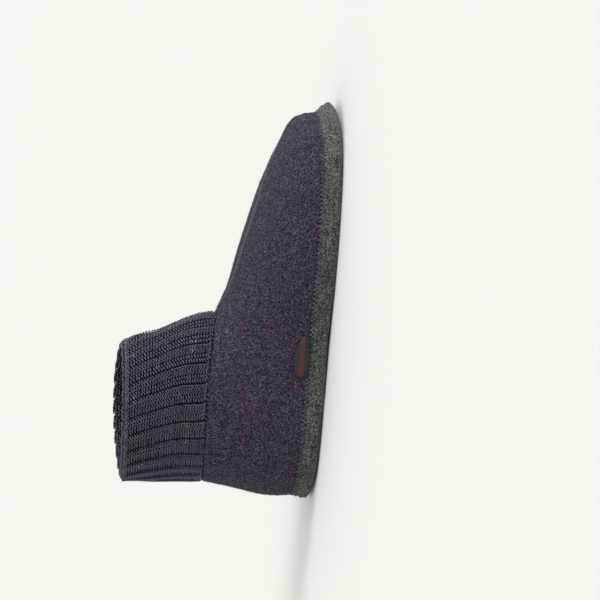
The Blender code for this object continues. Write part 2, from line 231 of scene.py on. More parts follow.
# Angles in degrees, lens in mm, places in m. The roll stands the shoe on its heel in the picture.
view = {"azimuth": 89.25, "elevation": 7.0, "roll": 85.77, "distance": 1.80, "lens": 150.6,
        "target": (0, -0.0009, 0.0185)}


def makeCamera():
    azimuth, elevation, roll = (math.radians(view[k]) for k in ("azimuth", "elevation", "roll"))
    back = Vector((math.sin(azimuth) * math.cos(elevation), -math.cos(azimuth) * math.cos(elevation),
                   math.sin(elevation)))
    side = (-back).cross(Vector((0, 0, 1))).normalized()
    rise = side.cross(-back)
    up = rise * math.cos(roll) + side * math.sin(roll)
    right = (-back).cross(up)
    data = bpy.data.cameras.new("camera")
    data.lens = view["lens"]
    data.sensor_width = 36
    data.clip_end = 200
    camera = bpy.data.objects.new("camera", data)
    camera.matrix_world = Matrix.Translation(Vector(view["target"]) + back * view["distance"]) @ \
        Matrix((right, up, back)).transposed().to_4x4()
    bpy.context.scene.collection.objects.link(camera)
    bpy.context.scene.camera = camera


makeCamera()
print("camera set")

# The floor's radius is in m, its paper's tooth in mm. The world gives "fill" above and "horizon" low down.
studio = {"floor": 90, "paper": "#f1f0ed", "tooth": "#efeeeb", "toothSize": 1.111, "sky": "#fffdf9", "fill": 0.85,
          "horizon": 0.93, "horizonBand": (0.02, 0.12), "keyStrength": 2.6, "keyFrom": (0.36, 1.2, 0.36),
          "keyAngle": 35}


def makeStudio():
    bm = bmesh.new()
    bmesh.ops.create_circle(bm, cap_ends=True, segments=96, radius=studio["floor"])
    mesh = bpy.data.meshes.new("floor")
    bm.to_mesh(mesh)
    bm.free()
    material, tree, shader = newMaterial("matt paper backdrop")   # rolled paper: no gloss, and hardly any tooth
    coords = addNode(tree, "TexCoord")
    tooth = addNode(tree, "TexNoise", {"Vector": coords.outputs["Object"], "Scale": every(studio["toothSize"]),
                                       "Detail": 2.0})
    shade = addNode(tree, "ValToRGB", {"Fac": tooth.outputs["Fac"]},
                    stops=[(0.3, studio["tooth"]), (0.7, studio["paper"])])
    setShader(tree, shader, {"Roughness": 0.9, "Specular IOR Level": 0.1}, shade.outputs["Color"])
    floor = newPiece("floor", mesh, material)
    world = bpy.data.worlds.new("soft studio")
    bpy.context.scene.world = world
    world.use_nodes = True
    sky = world.node_tree.nodes["Background"]
    sky.inputs["Color"].default_value = linear(studio["sky"])
    coords = addNode(world.node_tree, "TexCoord")             # brighter only at the horizon, like the paper there
    way = addNode(world.node_tree, "SeparateXYZ", {"Vector": coords.outputs["Generated"]})
    low, high = studio["horizonBand"]
    strength = addNode(world.node_tree, "MapRange", {"Value": way.outputs["Z"], "From Min": low, "From Max": high,
                                                     "To Min": studio["horizon"], "To Max": studio["fill"]})
    world.node_tree.links.new(strength.outputs[0], sky.inputs["Strength"])
    sun = bpy.data.lights.new("keyLight", "SUN")
    sun.energy = studio["keyStrength"]
    sun.angle = math.radians(studio["keyAngle"])
    lamp = bpy.data.objects.new("keyLight", sun)
    lamp.rotation_mode = "QUATERNION"
    lamp.rotation_quaternion = Vector(studio["keyFrom"]).to_track_quat("Z", "Y")
    bpy.context.scene.collection.objects.link(lamp)
    bpy.context.scene.view_settings.view_transform = "Standard"


makeStudio()
print("floor and light set")


def spotsOn(mesh, count, keep):             # random places on the faces to keep, evenly by area
    mesh.calc_loop_triangles()
    corners = np.empty(len(mesh.loop_triangles) * 3, dtype=np.int32)
    mesh.loop_triangles.foreach_get("vertices", corners)
    corners = corners.reshape(-1, 3)
    corners = corners[keep[corners].all(axis=1)]
    a, b, c = (pointsOf(mesh)[corners[:, k]] for k in range(3))
    area = np.linalg.norm(np.cross(b - a, c - a), axis=1)
    pick = dice.choice(len(corners), count, p=area / area.sum())
    u, v = np.sqrt(dice.uniform(0, 1, count))[:, None], dice.uniform(0, 1, count)[:, None]
    place = a[pick] * (1 - u) + b[pick] * u * (1 - v) + c[pick] * u * v
    return place, normalsOf(mesh)[corners[pick, 0]]


def fibreShape(bent):                       # one wool fibre along Y: 1 long, 1 thick at its root, to a point
    bm = bmesh.new()
    bmesh.ops.create_cone(bm, cap_ends=True, segments=3, radius1=0.5, radius2=0.0, depth=1,
                          matrix=Matrix.Rotation(math.radians(-90), 4, "X"))
    if bent:
        lengthwise = [e for e in bm.edges if abs(e.verts[0].co.y - e.verts[1].co.y) > 0.5]
        bmesh.ops.subdivide_edges(bm, edges=lengthwise, cuts=1)
        for vert in bm.verts:               # thin against its bend, which is as deep as the fibre is long
            vert.co.z = 0.12 * vert.co.z - bent * (vert.co.y + 0.5) ** 2
    mesh = bpy.data.meshes.new("fibreShape")
    bm.to_mesh(mesh)
    bm.free()
    return mesh


# Short fibres over a piece, some lying and some standing. A real fibre is 0.03 mm thick: these are drawn at
# about five times that, so that they show.
def layNap(name, piece, keep, look, material):
    place, out = spotsOn(piece.data, look["count"], keep)
    loose = unit(dice.normal(0, 1, place.shape))
    flat = unit(loose - out * (loose * out).sum(axis=1, keepdims=True))
    lean = np.radians(dice.uniform(*look["lean"], len(place)))[:, None]
    along = flat * np.cos(lean) + out * np.sin(lean)
    long = dice.uniform(*look["long"], len(place)) * mm
    thick = np.full(len(place), look["thick"] * mm)
    size = np.column_stack([thick, long, long * 0.5 if look["bent"] else thick])
    origin = place + along * (long * 0.45)[:, None]           # its root just under the face
    sew(name, fibreShape(look["bent"]), origin, along, out, size, dice.uniform(0, 1, len(place)), material)


def fibreMaterial(name, tones):             # single wool fibres: matt, and each of one dyed tone
    material, tree, shader = newMaterial(name)
    tone = addNode(tree, "Attribute", attribute_name="tone")
    colour = addNode(tree, "ValToRGB", {"Fac": tone.outputs["Fac"]}, stops=tones)
    setShader(tree, shader, {"Roughness": 0.9, "Specular IOR Level": 0.2}, colour.outputs["Color"])
    return material


# Boiled wool: knitted, then shrunk and milled, so no loop shows. Matt, with a short nap and a heather of
# dyed fibres. The dye drifts over 9 mm. The heather's grains and the flecks are tufts of fibres, 1.1 and
# 2.4 mm wide, and the fine relief is drawn at 0.5 mm, coarser than the single fibres, so that it shows.
# the seam colour is a painted highlight, laid paler along the seam's folded edge where it catches the light
wool = {"seam": "#787483", "navy": "#4d4858", "plum": "#5e4258", "slate": "#485366",
        "flecks": [(0.0, "#5e3048"), (0.36, "#35505c"), (0.58, "#3f4273"), (0.80, "#5e463c")],
        "heather": [(0.43, "#0f0e11"), (0.5, "#8d8992"), (0.56, "#ffffff")],
        "drift": 9.09, "grain": 1.111, "fleck": 2.381, "fibre": 0.5263, "fleckShare": 0.28, "fleckStrength": 0.42,
        "bump": 0.5, "sheen": "#c9c2d6"}


def boiledWool(name):
    material, tree, shader = newMaterial(name)
    coords = addNode(tree, "TexCoord").outputs["Object"]
    drift = addNode(tree, "TexNoise", {"Vector": coords, "Scale": every(wool["drift"]), "Detail": 5.0,
                                       "Roughness": 0.7})
    heather = addNode(tree, "TexNoise", {"Vector": coords, "Scale": every(wool["grain"]), "Detail": 4.0,
                                         "Roughness": 0.7})
    base = addNode(tree, "ValToRGB", {"Fac": drift.outputs["Fac"]},
                   stops=[(0.36, wool["plum"]), (0.5, wool["navy"]), (0.66, wool["slate"])])
    shade = addNode(tree, "ValToRGB", {"Fac": heather.outputs["Fac"]}, stops=wool["heather"])
    worn = addNode(tree, "Mix", {0: 1.0, 6: base.outputs["Color"], 7: shade.outputs["Color"]},
                   data_type="RGBA", blend_type="MULTIPLY")
    cell = addNode(tree, "TexVoronoi", {"Vector": coords, "Scale": every(wool["fleck"]), "Randomness": 1.0})
    chance = addNode(tree, "SeparateColor", {"Color": cell.outputs["Color"]})
    picked = addNode(tree, "Math", {0: chance.outputs["Red"], 1: 1 - wool["fleckShare"]}, operation="GREATER_THAN")
    near = addNode(tree, "MapRange", {"Value": cell.outputs["Distance"], "From Min": 0.55, "From Max": 0.15,
                                      "To Min": 0.0, "To Max": wool["fleckStrength"]})
    amount = addNode(tree, "Math", {0: picked.outputs[0], 1: near.outputs[0]}, operation="MULTIPLY")
    dyed = addNode(tree, "ValToRGB", {"Fac": chance.outputs["Green"]}, stops=wool["flecks"])
    dyed.color_ramp.interpolation = "CONSTANT"
    colour = addNode(tree, "Mix", {0: amount.outputs[0], 6: worn.outputs[2], 7: dyed.outputs["Color"]},
                     data_type="RGBA")
    seamHighlight = addNode(tree, "Attribute", attribute_name="seam")  # painted highlight: the folded edge of the seam, where it catches the light, is coloured paler
    highlighted = addNode(tree, "Mix", {0: seamHighlight.outputs["Fac"], 6: colour.outputs[2], 7: linear(wool["seam"])},
                   data_type="RGBA")
    fibre = addNode(tree, "TexNoise", {"Vector": coords, "Scale": every(wool["fibre"]), "Detail": 3.0,
                                       "Distortion": 1.5})
    relief = addNode(tree, "Math", {0: heather.outputs["Fac"], 1: fibre.outputs["Fac"]}, operation="ADD")
    bump = addNode(tree, "Bump", {"Strength": 0.8, "Distance": wool["bump"] * mm, "Height": relief.outputs[0]})
    setShader(tree, shader, {"Roughness": 0.95, "Specular IOR Level": 0.2, "Sheen Weight": 0.06,
                             "Sheen Roughness": 0.6, "Sheen Tint": linear(wool["sheen"])}, highlighted.outputs[2], bump)
    return material


# Wool felt, pressed from loose fibres: matt, and mottled where light and dark fibres curl together in
# grains of about 1 mm, with a slow drift over 11 mm.
felt = {"grain": 1.111, "drift": 11.11, "driftStrength": 0.06, "bump": 0.6}


def woolFelt(name, look):
    material, tree, shader = newMaterial(name)
    coords = addNode(tree, "TexCoord").outputs["Object"]
    grain = addNode(tree, "TexNoise", {"Vector": coords, "Scale": every(felt["grain"]), "Detail": 4.0,
                                       "Roughness": 0.7, "Distortion": 0.4})
    slow = addNode(tree, "TexNoise", {"Vector": coords, "Scale": every(felt["drift"]), "Detail": 2.0})
    drift = addNode(tree, "MapRange", {"Value": slow.outputs["Fac"], "To Min": -felt["driftStrength"],
                                       "To Max": felt["driftStrength"]})
    mixed = addNode(tree, "Math", {0: grain.outputs["Fac"], 1: drift.outputs[0]}, operation="ADD")
    colour = addNode(tree, "ValToRGB", {"Fac": mixed.outputs[0]},
                     stops=[(0.4, look["dark"]), (0.5, look["middle"]), (0.6, look["light"])])
    bump = addNode(tree, "Bump", {"Strength": look["rough"], "Distance": felt["bump"] * mm,
                                  "Height": grain.outputs["Fac"]})
    setShader(tree, shader, {"Roughness": 0.95, "Specular IOR Level": 0.2, "Sheen Weight": 0.15,
                             "Sheen Roughness": 0.6}, colour.outputs["Color"], bump)
    return material


# Upper, in mm. The centre seam is a line of (y, x), from the collar to the toe, with a ridge on it and a
# hollow beside it: height, place beside the line, width. The paler edge is given in the same way. Creases:
# side (+1 outer, -1 inner, 0 both), two ends as (y, z), how deep and how wide. "swell" is the height beside
# a crease as a share of its depth. Pairs that say where something begins hold the place and the length over
# which it grows.
upper = {"middle": (-8.0, 30), "lump": 0.35, "lumpSize": 17, "grain": 0.16, "grainSize": 1.7,
         "calmBelow": (17, 8), "bedded": 0.7, "beddedBelow": 25, "napAbove": 15,
         "seam": [(-14, -3.2), (1, 4.6), (16, 7.3), (31, 7.3), (46, 7.8), (69, 7.2), (87, 4.3), (105, 1.3),
                  (126, -3.8), (135, -7.0)],
         "seamAbove": (24, 8), "seamAhead": (-20, 6), "ridge": (0.6, 0, 1.0), "hollow": (-1.1, -3.6, 1.8),
         "paintedHighlight": (0.4, 0, 1.1), "swell": 0.45,
         "nap": {"count": 45000, "long": (0.8, 1.7), "thick": 0.16, "lean": (4, 26), "bent": 0},
         "fluff": {"count": 9000, "long": (1.4, 2.9), "thick": 0.15, "lean": (15, 65), "bent": 0.45},
         "fibres": [(0.0, "#16131b"), (0.26, "#3d384a"), (0.48, "#625a72"), (0.63, "#545a70"), (0.73, "#6f4b66"),
                    (0.82, "#566769"), (0.86, "#9790a6"), (1.0, "#cac5d6")],
         "creases": [(1, (-18, 70), (-44, 40), 0.9, 9), (-1, (-16, 70), (-40, 38), 1.0, 9),
                     (0, (70, 52), (58, 24), 0.5, 7), (0, (48, 60), (40, 30), 0.45, 8),
                     (1, (-112, 66), (-96, 30), 0.6, 11), (-1, (-108, 66), (-92, 32), 0.6, 11)]}


def creaseField(points, creases):           # soft troughs with a low swell beside them, fading out at their ends
    total = np.zeros(len(points))
    flat = points[:, 1:] / mm
    side = np.sign(points[:, 0] / mm - upper["middle"][0])
    for where, start, end, deep, wide in creases:
        start, end = np.array(start, float), np.array(end, float)
        run = end - start
        share = np.clip((flat - start) @ run / (run @ run), 0, 1)
        away = np.linalg.norm(flat - start - share[:, None] * run, axis=1) / wide
        trough = -np.exp(-away ** 2) + upper["swell"] * np.exp(-(away - 1.7) ** 2 / 0.5)
        fade = np.sin(math.pi * np.clip(share, 0.08, 0.92))
        total += trough * fade * deep * ((side == where) | (where == 0))
    return total * mm


def hump(away, shape):                      # a rounded rise or hollow across a line
    high, place, wide = shape
    return high * np.exp(-((away - place) / wide) ** 2)


def makeUpper():
    piece = newPiece("upperWool", weldedCopy("upper"), boiledWool("boiled wool, milled"))
    smoothed(piece)
    points, normals = pointsOf(piece.data), normalsOf(piece.data)
    x, y, z = points.T / mm
    middle = np.column_stack([np.full(len(points), upper["middle"][0] * mm), points[:, 1],
                              np.full(len(points), upper["middle"][1] * mm)])
    outward = np.where(((points - middle) * normals).sum(axis=1) > 0, 1, -1)
    clear = easeFrom(z, upper["calmBelow"])     # lies flat where it meets the sole
    away = x - np.interp(y, *zip(*upper["seam"]))             # beside the centre seam, more on the outer side
    onTop = easeFrom(z, upper["seamAbove"]) * easeFrom(y, upper["seamAhead"]) * (outward > 0)
    # painted highlight: a paler colour on the outer face along the seam's folded edge, where light catches it
    seamHighlight = hump(away, upper["paintedHighlight"]) * onTop
    piece.data.attributes.new("seam", "FLOAT", "POINT").data.foreach_set("value", seamHighlight)
    push = creaseField(points, upper["creases"]) * outward
    push += (hump(away, upper["ridge"]) + hump(away, upper["hollow"])) * onTop * mm
    push += softNoise(points / mm, upper["lumpSize"], 3) * upper["lump"] * mm * outward
    push = push * clear + softNoise(points / mm, upper["grainSize"], 5) * upper["grain"] * mm
    foot = (normals[:, 2] < -0.6) & (z < upper["beddedBelow"])               # the lower edge beds into the sole
    sunk = foot[:, None] * np.array([0, 0, upper["bedded"] * mm])
    setPoints(piece.data, points + normals * push[:, None] - sunk)
    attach(piece, "root")
    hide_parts("upper")
    outside = (outward > 0) & (z > upper["napAbove"]) & (seamHighlight < 0.8 * upper["paintedHighlight"][0])      # bare on the seam
    fibres = fibreMaterial("wool fibres, milled", upper["fibres"])
    layNap("upperNap", piece, outside, upper["nap"], fibres)
    layNap("upperFluff", piece, outside, upper["fluff"], fibres)


makeUpper()
print("upper made")

# Sole, in mm: moulded in a warm press, which leaves faint lines along its band, "ridge" apart. "swell"
# rounds the front of the toe: how far it stands out, at what height and how wide.
sole = {"dark": "#161a17", "middle": "#383d39", "light": "#7e847c", "rough": 0.9,
        "voxel": 1.15, "grain": 0.2, "grainSize": 2.0, "lump": 0.2, "lumpSize": 14, "lumpAbove": (0, 4),
        "ridges": 0.55, "ridge": 3.6,
        "swell": (1.9, 11.0, 3.4), "swellAhead": (122, 16), "napAbove": 1.5,
        "nap": {"count": 40000, "long": (0.7, 1.5), "thick": 0.2, "lean": (3, 26), "bent": 0},
        "fibres": [(0.0, "#101311"), (0.46, "#262a27"), (0.66, "#414642"), (0.84, "#767b75"), (1.0, "#c4c7bf")]}


def makeSole():
    piece = newPiece("soleFelt", weldedCopy("sole"), woolFelt("moulded wool felt", sole))
    fine = piece.modifiers.new("felted", "REMESH")
    fine.mode = "VOXEL"
    fine.voxel_size = sole["voxel"] * mm
    bakeModifiers(piece)
    points, normals = pointsOf(piece.data), normalsOf(piece.data)
    y, z = points[:, 1] / mm, points[:, 2] / mm
    push = softNoise(points / mm, sole["grainSize"], 7) * sole["grain"]
    push += softNoise(points / mm, sole["lumpSize"], 8) * sole["lump"] * easeFrom(z, sole["lumpAbove"])
    upright = 1 - np.abs(normals[:, 2])     # the lines show on the side band only
    push += np.cos(2 * math.pi * z / sole["ridge"]) * sole["ridges"] * ease(upright * 1.6)
    ahead = easeFrom(y, sole["swellAhead"]) * (normals[:, 1] > 0.1)          # on the faces that look forward
    push += hump(z, sole["swell"]) * ahead
    points = points + normals * push[:, None] * mm
    points[:, 2] = np.maximum(points[:, 2], 0)
    setPoints(piece.data, points)
    piece.data.shade_smooth()
    keep = (normals[:, 2] > -0.8) & (points[:, 2] > sole["napAbove"] * mm)
    layNap("soleNap", piece, keep, sole["nap"], fibreMaterial("felt fibres", sole["fibres"]))
    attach(piece, "root")
    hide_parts("sole")


makeSole()
print("sole made")

insole = {"dark": "#3f3f42", "middle": "#58585b", "light": "#6e6e70", "rough": 0.6}


def makeInsole():                           # needled felt: flatter and more even than the sole, in plain grey
    piece = newPiece("insoleFelt", weldedCopy("insole"), woolFelt("needled wool felt", insole))
    smoothed(piece)
    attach(piece, "root")
    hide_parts("insole")


makeInsole()
print("insole made")

# The knit, in mm. The ribs run from the seam up, over the rim and down inside, with two knit and two purl
# wales to each rib. "relief" is the height over one rib, by share of its width, from the deep furrow on the
# heel side of its purl wales; it is flatter at the seam (share left, over which part of the rise) and at
# the rim (share lost, from where, over which part). A stitch has its places across the rib, how far its
# legs stand apart, its slant in degrees, its width, length and thickness, and how far it stands off.
# "sizedAt" is the girth at which a stitch that lies across has that length. "uneven" is how much stitches
# stray: around and along as shares of the whole way, slant in degrees, and size.
knit = {"ribs": 24, "courses": 66, "deep": 2.0, "mean": 0.62, "sway": 1.4, "twist": 12.5, "spread": 10.0,
        "girth": 276, "sizedAt": 300, "centre": (-6.6, -80.0), "wall": 4.4, "uneven": (0.0003, 0.0008, 4, 0.06),
        "relief": [(0, -0.3), (0.08, 0.22), (0.22, 0.36), (0.36, 0.48), (0.44, 0.5), (0.52, 0.85), (0.61, 1.0),
                   (0.73, 0.86), (0.85, 1.0), (0.92, 0.7), (1, -0.3)],
        "flatAtSeam": (0.35, 0.12), "flatAtRim": (0.45, 0.80, 0.18),
        "knitStitch": {"wales": (0.61, 0.85), "apart": 0.056, "slant": 48, "size": (0.78, 2.25, 1.05),
                       "proud": 0.2},
        "purlStitch": {"wales": (0.165, 0.375), "slant": 82, "size": (1.12, 2.5, 1.15), "proud": 0.3},
        "wallDepth": 0.5, "wallAtRim": (0.35, 0.06), "columns": 480, "levels": 49, "path": 133,
        "scanFrom": 300, "scanStart": 100, "scanStep": 0.5}


def cuffProfile():                          # the cuff's outer face: places around from the heel, from seam to rim
    tree = rayTree("cuff")
    around, levels = knit["columns"], knit["levels"]
    rows = np.empty((around, levels, 3))
    hub = Vector((knit["centre"][0] * mm, knit["centre"][1] * mm, 0))
    far, base, step = (knit[key] * mm for key in ("scanFrom", "scanStart", "scanStep"))
    for i in range(around):
        angle = 2 * math.pi * i / around
        way = Vector((math.sin(angle), -math.cos(angle), 0))

        def reach(z):
            hit = tree.ray_cast(hub + way * far + Vector((0, 0, z)), -way, far)
            return None if hit[0] is None else far - hit[3]

        line = [(base, reach(base))]
        here = reach(base - step)
        while here is not None and here > line[-1][1] - 1.0 * mm:     # down to the seam, where the face steps in
            line.append((line[-1][0] - step, here))
            here = reach(line[-1][0] - step)
        line.reverse()
        here = reach(base + step)
        while here is not None:             # up to the fold of the rim
            line.append((line[-1][0] + step, here))
            here = reach(line[-1][0] + step)
        line = np.array(line)
        line = line[line[:, 0] < line[-1, 0] - knit["wall"] / 2 * mm]
        run = np.concatenate([[0], np.cumsum(np.hypot(*np.diff(line, axis=0).T))])
        share = np.linspace(0, run[-1], levels)
        heights, radii = np.interp(share, run, line[:, 0]), np.interp(share, run, line[:, 1])
        rows[i] = np.column_stack([hub.x + way.x * radii, hub.y + way.y * radii, heights])
    return rows


def evenLoops(rows):                        # spreads each level's points evenly from heel to front, on both halves
    around, levels = rows.shape[:2]
    out = np.empty_like(rows)
    half = around // 2
    for level in range(levels):
        loop = np.vstack([rows[:, level], rows[:1, level]])
        for start in (0, half):
            part = loop[start:start + half + 1]
            run = np.concatenate([[0], np.cumsum(np.linalg.norm(np.diff(part[:, :2], axis=0), axis=1))])
            at = np.linspace(0, run[-1], half, endpoint=False)
            out[start:start + half, level] = np.column_stack([np.interp(at, run, part[:, k]) for k in range(3)])
    window = around // knit["ribs"]         # one rib wide, so the solid's own ribs even out
    return sum(np.roll(out, k - window // 2, axis=0) for k in range(window)) / window


def faceOut(grid):                          # outward directions of a grid of places around and along
    around = np.roll(grid, -1, axis=0) - np.roll(grid, 1, axis=0)
    return unit(np.cross(around, np.gradient(grid, axis=1)))


def overRim(outer):                         # adds the fold of the rim and the inner face, evenly spaced along
    level = faceOut(outer)
    level[..., 2] = 0
    level = unit(level)
    wall = knit["wall"] * mm
    bends = np.linspace(0, math.pi, 13)[1:-1]
    up = np.array([0, 0, wall / 2])
    fold = [outer[:, -1] - level[:, -1] * (1 - math.cos(a)) * wall / 2 + up * math.sin(a) for a in bends]
    line = np.concatenate([outer, np.stack(fold, axis=1), (outer - level * wall)[:, ::-1]], axis=1)
    path = np.empty((len(line), knit["path"], 3))
    for i, points in enumerate(line):
        run = np.concatenate([[0], np.cumsum(np.linalg.norm(np.diff(points, axis=0), axis=1))])
        at = np.linspace(0, run[-1], knit["path"])
        path[i] = np.column_stack([np.interp(at, run, points[:, k]) for k in range(3)])
    return path


# The ribs sway and twist as they rise, and stand wider apart at the low front, so their places around shift.
def swayAt(turn, along):
    rise = 1 - np.abs(2 * along - 1)
    shift = knit["sway"] * np.sin(1.5 * math.pi * rise) + knit["twist"] * (0.5 - rise ** 3)
    return (shift - knit["spread"] * (1 - rise ** 2) * np.sin(2 * math.pi * turn)) / knit["girth"]


def ribLift(turn, along):                   # relief of the knit over the cuff's mean face, in mm
    start = turn
    for attempt in range(5):                # where this place's rib begins, found by trying again
        start = turn - swayAt(start, along)
    phase = np.mod(start * knit["ribs"], 1.0)
    ridge = np.interp(phase, *zip(*knit["relief"]))
    rise = 1 - np.abs(2 * along - 1)
    (least, near), (loss, start, over) = knit["flatAtSeam"], knit["flatAtRim"]
    grow = least + (1 - least) * ease(rise / near) - loss * ease((rise - start) / over)
    return (ridge - knit["mean"]) * knit["deep"] * grow


turns = np.arange(knit["columns"]) / knit["columns"]
ways = np.linspace(0, 1, knit["path"])
meanFace = overRim(evenLoops(cuffProfile()))
meanOut = faceOut(meanFace)
ribFace = meanFace + meanOut * (ribLift(turns[:, None], ways[None, :]) * mm)[..., None]
ribOut = faceOut(ribFace)


def onCuff(grid, turn, along):              # reads a grid between its places
    u = np.mod(turn, 1.0) * knit["columns"]
    v = np.clip(along, 0, 1) * (knit["path"] - 1)
    i, j = np.floor(u).astype(int), np.minimum(np.floor(v).astype(int), knit["path"] - 2)
    a, b = (u - i)[..., None], (v - j)[..., None]
    i, k = i % knit["columns"], (i + 1) % knit["columns"]
    below = grid[i, j] * (1 - a) + grid[k, j] * a
    above = grid[i, j + 1] * (1 - a) + grid[k, j + 1] * a
    return below * (1 - b) + above * b


# Worsted wool yarn, plied and knitted: matt and round, with the turns of its plies as fine slanting lines,
# and dark navy that drifts to plum, slate and teal from stitch to stitch. The fluff is drawn at 0.7 mm,
# coarser than its fibres, so that it shows. "plies" says how many are crossed along a stitch and around it.
yarn = {"tones": [(0.0, "#322e40"), (0.22, "#57516c"), (0.42, "#6a5e79"), (0.58, "#595d73"), (0.72, "#735672"),
                  (0.86, "#646e6c"), (1.0, "#a098b2")],
        # the ground's near-black tones are painted shade for the gaps behind the stitches
        "shadedGround": [(0.35, "#100e14"), (0.5, "#17151c"), (0.65, "#1f1c26")],
        "drift": 14.29, "fluff": 0.6667, "plies": (2.5, 2.0), "groundDrift": 3.846, "bump": 0.3, "groundBump": 0.7}


def plyYarn(name, tones):
    material, tree, shader = newMaterial(name)
    coords = addNode(tree, "TexCoord")
    tone = addNode(tree, "Attribute", attribute_name="tone")
    drift = addNode(tree, "TexNoise", {"Vector": coords.outputs["Object"], "Scale": every(yarn["drift"]),
                                       "Detail": 2.0})
    mixed = addNode(tree, "Mix", {0: 0.5, 2: tone.outputs["Fac"], 3: drift.outputs["Fac"]}, data_type="FLOAT")
    spread = addNode(tree, "MapRange", {"Value": mixed.outputs[0], "From Min": 0.2, "From Max": 0.8})
    base = addNode(tree, "ValToRGB", {"Fac": spread.outputs[0]}, stops=tones)
    fluff = addNode(tree, "TexNoise", {"Vector": coords.outputs["Object"], "Scale": every(yarn["fluff"]),
                                       "Detail": 3.0})
    shade = addNode(tree, "ValToRGB", {"Fac": fluff.outputs["Fac"]}, stops=[(0.3, "#a8a8a8"), (0.65, "#ffffff")])
    colour = addNode(tree, "Mix", {0: 1.0, 6: base.outputs["Color"], 7: shade.outputs["Color"]},
                     data_type="RGBA", blend_type="MULTIPLY")
    flat = addNode(tree, "SeparateXYZ", {"Vector": coords.outputs["UV"]})
    lengthwise, around = yarn["plies"]
    twist = addNode(tree, "Math", {0: flat.outputs["X"], 1: around}, operation="MULTIPLY")
    ply = addNode(tree, "Math", {0: flat.outputs["Y"], 1: lengthwise, 2: twist.outputs[0]},
                  operation="MULTIPLY_ADD")
    full = addNode(tree, "Math", {0: ply.outputs[0], 1: 2 * math.pi}, operation="MULTIPLY")
    wave = addNode(tree, "Math", {0: full.outputs[0]}, operation="SINE")
    height = addNode(tree, "Math", {0: wave.outputs[0], 1: 0.35, 2: fluff.outputs["Fac"]},
                     operation="MULTIPLY_ADD")
    bump = addNode(tree, "Bump", {"Strength": 0.7, "Distance": yarn["bump"] * mm, "Height": height.outputs[0]})
    setShader(tree, shader, {"Roughness": 0.9, "Specular IOR Level": 0.25, "Sheen Weight": 0.2,
                             "Sheen Roughness": 0.5}, colour.outputs[2], bump)
    return material


def makeKnitWall():                         # the tube behind the stitches, doubled over at its rim
    less, near = knit["wallAtRim"]          # close behind the loops where it turns over the rim
    depth = knit["wallDepth"] - less * np.exp(-((ways - 0.5) / near) ** 2)
    sunk = (ribFace - ribOut * (depth * mm)[None, :, None])[::2, ::2]
    grid = np.concatenate([sunk, sunk[:, :1]], axis=1).transpose(1, 0, 2)     # back to the outer edge of the seam
    grid = np.concatenate([grid, grid[:, :1]], axis=1)
    bm = bmesh.new()
    uvs = bm.loops.layers.uv.new("knit")
    bmesh.ops.create_grid(bm, x_segments=len(sunk), y_segments=len(grid) - 1, size=0.5)
    across = len(sunk) + 1
    for face in bm.faces:
        for loop in face.loops:
            row, column = divmod(loop.vert.index, across)
            loop[uvs].uv = (column / len(sunk), row / (sunk.shape[1] - 1))
    for vert, place in zip(bm.verts, grid.reshape(-1, 3)):
        vert.co = place
    bmesh.ops.remove_doubles(bm, verts=bm.verts, dist=0.001 * mm)
    bmesh.ops.recalc_face_normals(bm, faces=bm.faces)
    mesh = bpy.data.meshes.new("knitWall")
    bm.to_mesh(mesh)
    bm.free()
    # its colour is painted shade, near black where the gaps between the stitches lie in shade
    piece = newPiece("knitWall", mesh, shadedKnitGround())
    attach(piece, "root")
    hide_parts("cuff")


def shadedKnitGround():                           # painted shade: the yarn behind the stitches, coloured near black for the shade in the gaps between them, with painted light and shade along its rows of loops
    material, tree, shader = newMaterial("rib knit, painted shade behind stitches")
    coords = addNode(tree, "TexCoord")
    flat = addNode(tree, "SeparateXYZ", {"Vector": coords.outputs["UV"]})
    wales = addNode(tree, "Math", {0: flat.outputs["X"], 1: 2 * math.pi * knit["ribs"] * 4},
                    operation="MULTIPLY")   # four wales to a rib
    side = addNode(tree, "Math", {0: wales.outputs[0]}, operation="COSINE")
    slant = addNode(tree, "Math", {0: side.outputs[0], 1: 1.4}, operation="MULTIPLY")
    rows = addNode(tree, "Math", {0: flat.outputs["Y"], 1: 2 * math.pi * knit["courses"], 2: slant.outputs[0]},
                   operation="MULTIPLY_ADD")        # one wave to each course of stitches
    loops = addNode(tree, "Math", {0: rows.outputs[0]}, operation="SINE")
    drift = addNode(tree, "TexNoise", {"Vector": coords.outputs["Object"], "Scale": every(yarn["groundDrift"]),
                                       "Detail": 3.0})
    base = addNode(tree, "ValToRGB", {"Fac": drift.outputs["Fac"]}, stops=yarn["shadedGround"])
    # painted light and shade: each row of loops is coloured lighter on one side and darker on the other
    lit = addNode(tree, "MapRange", {"Value": loops.outputs[0], "From Min": -1.0, "From Max": 1.0, "To Min": 0.35})
    colour = addNode(tree, "Mix", {0: 1.0, 6: base.outputs["Color"], 7: lit.outputs[0]},
                     data_type="RGBA", blend_type="MULTIPLY")
    bump = addNode(tree, "Bump", {"Strength": 0.8, "Distance": yarn["groundBump"] * mm,
                                  "Height": loops.outputs[0]})
    setShader(tree, shader, {"Roughness": 0.95, "Specular IOR Level": 0.2}, colour.outputs[2], bump)
    return material


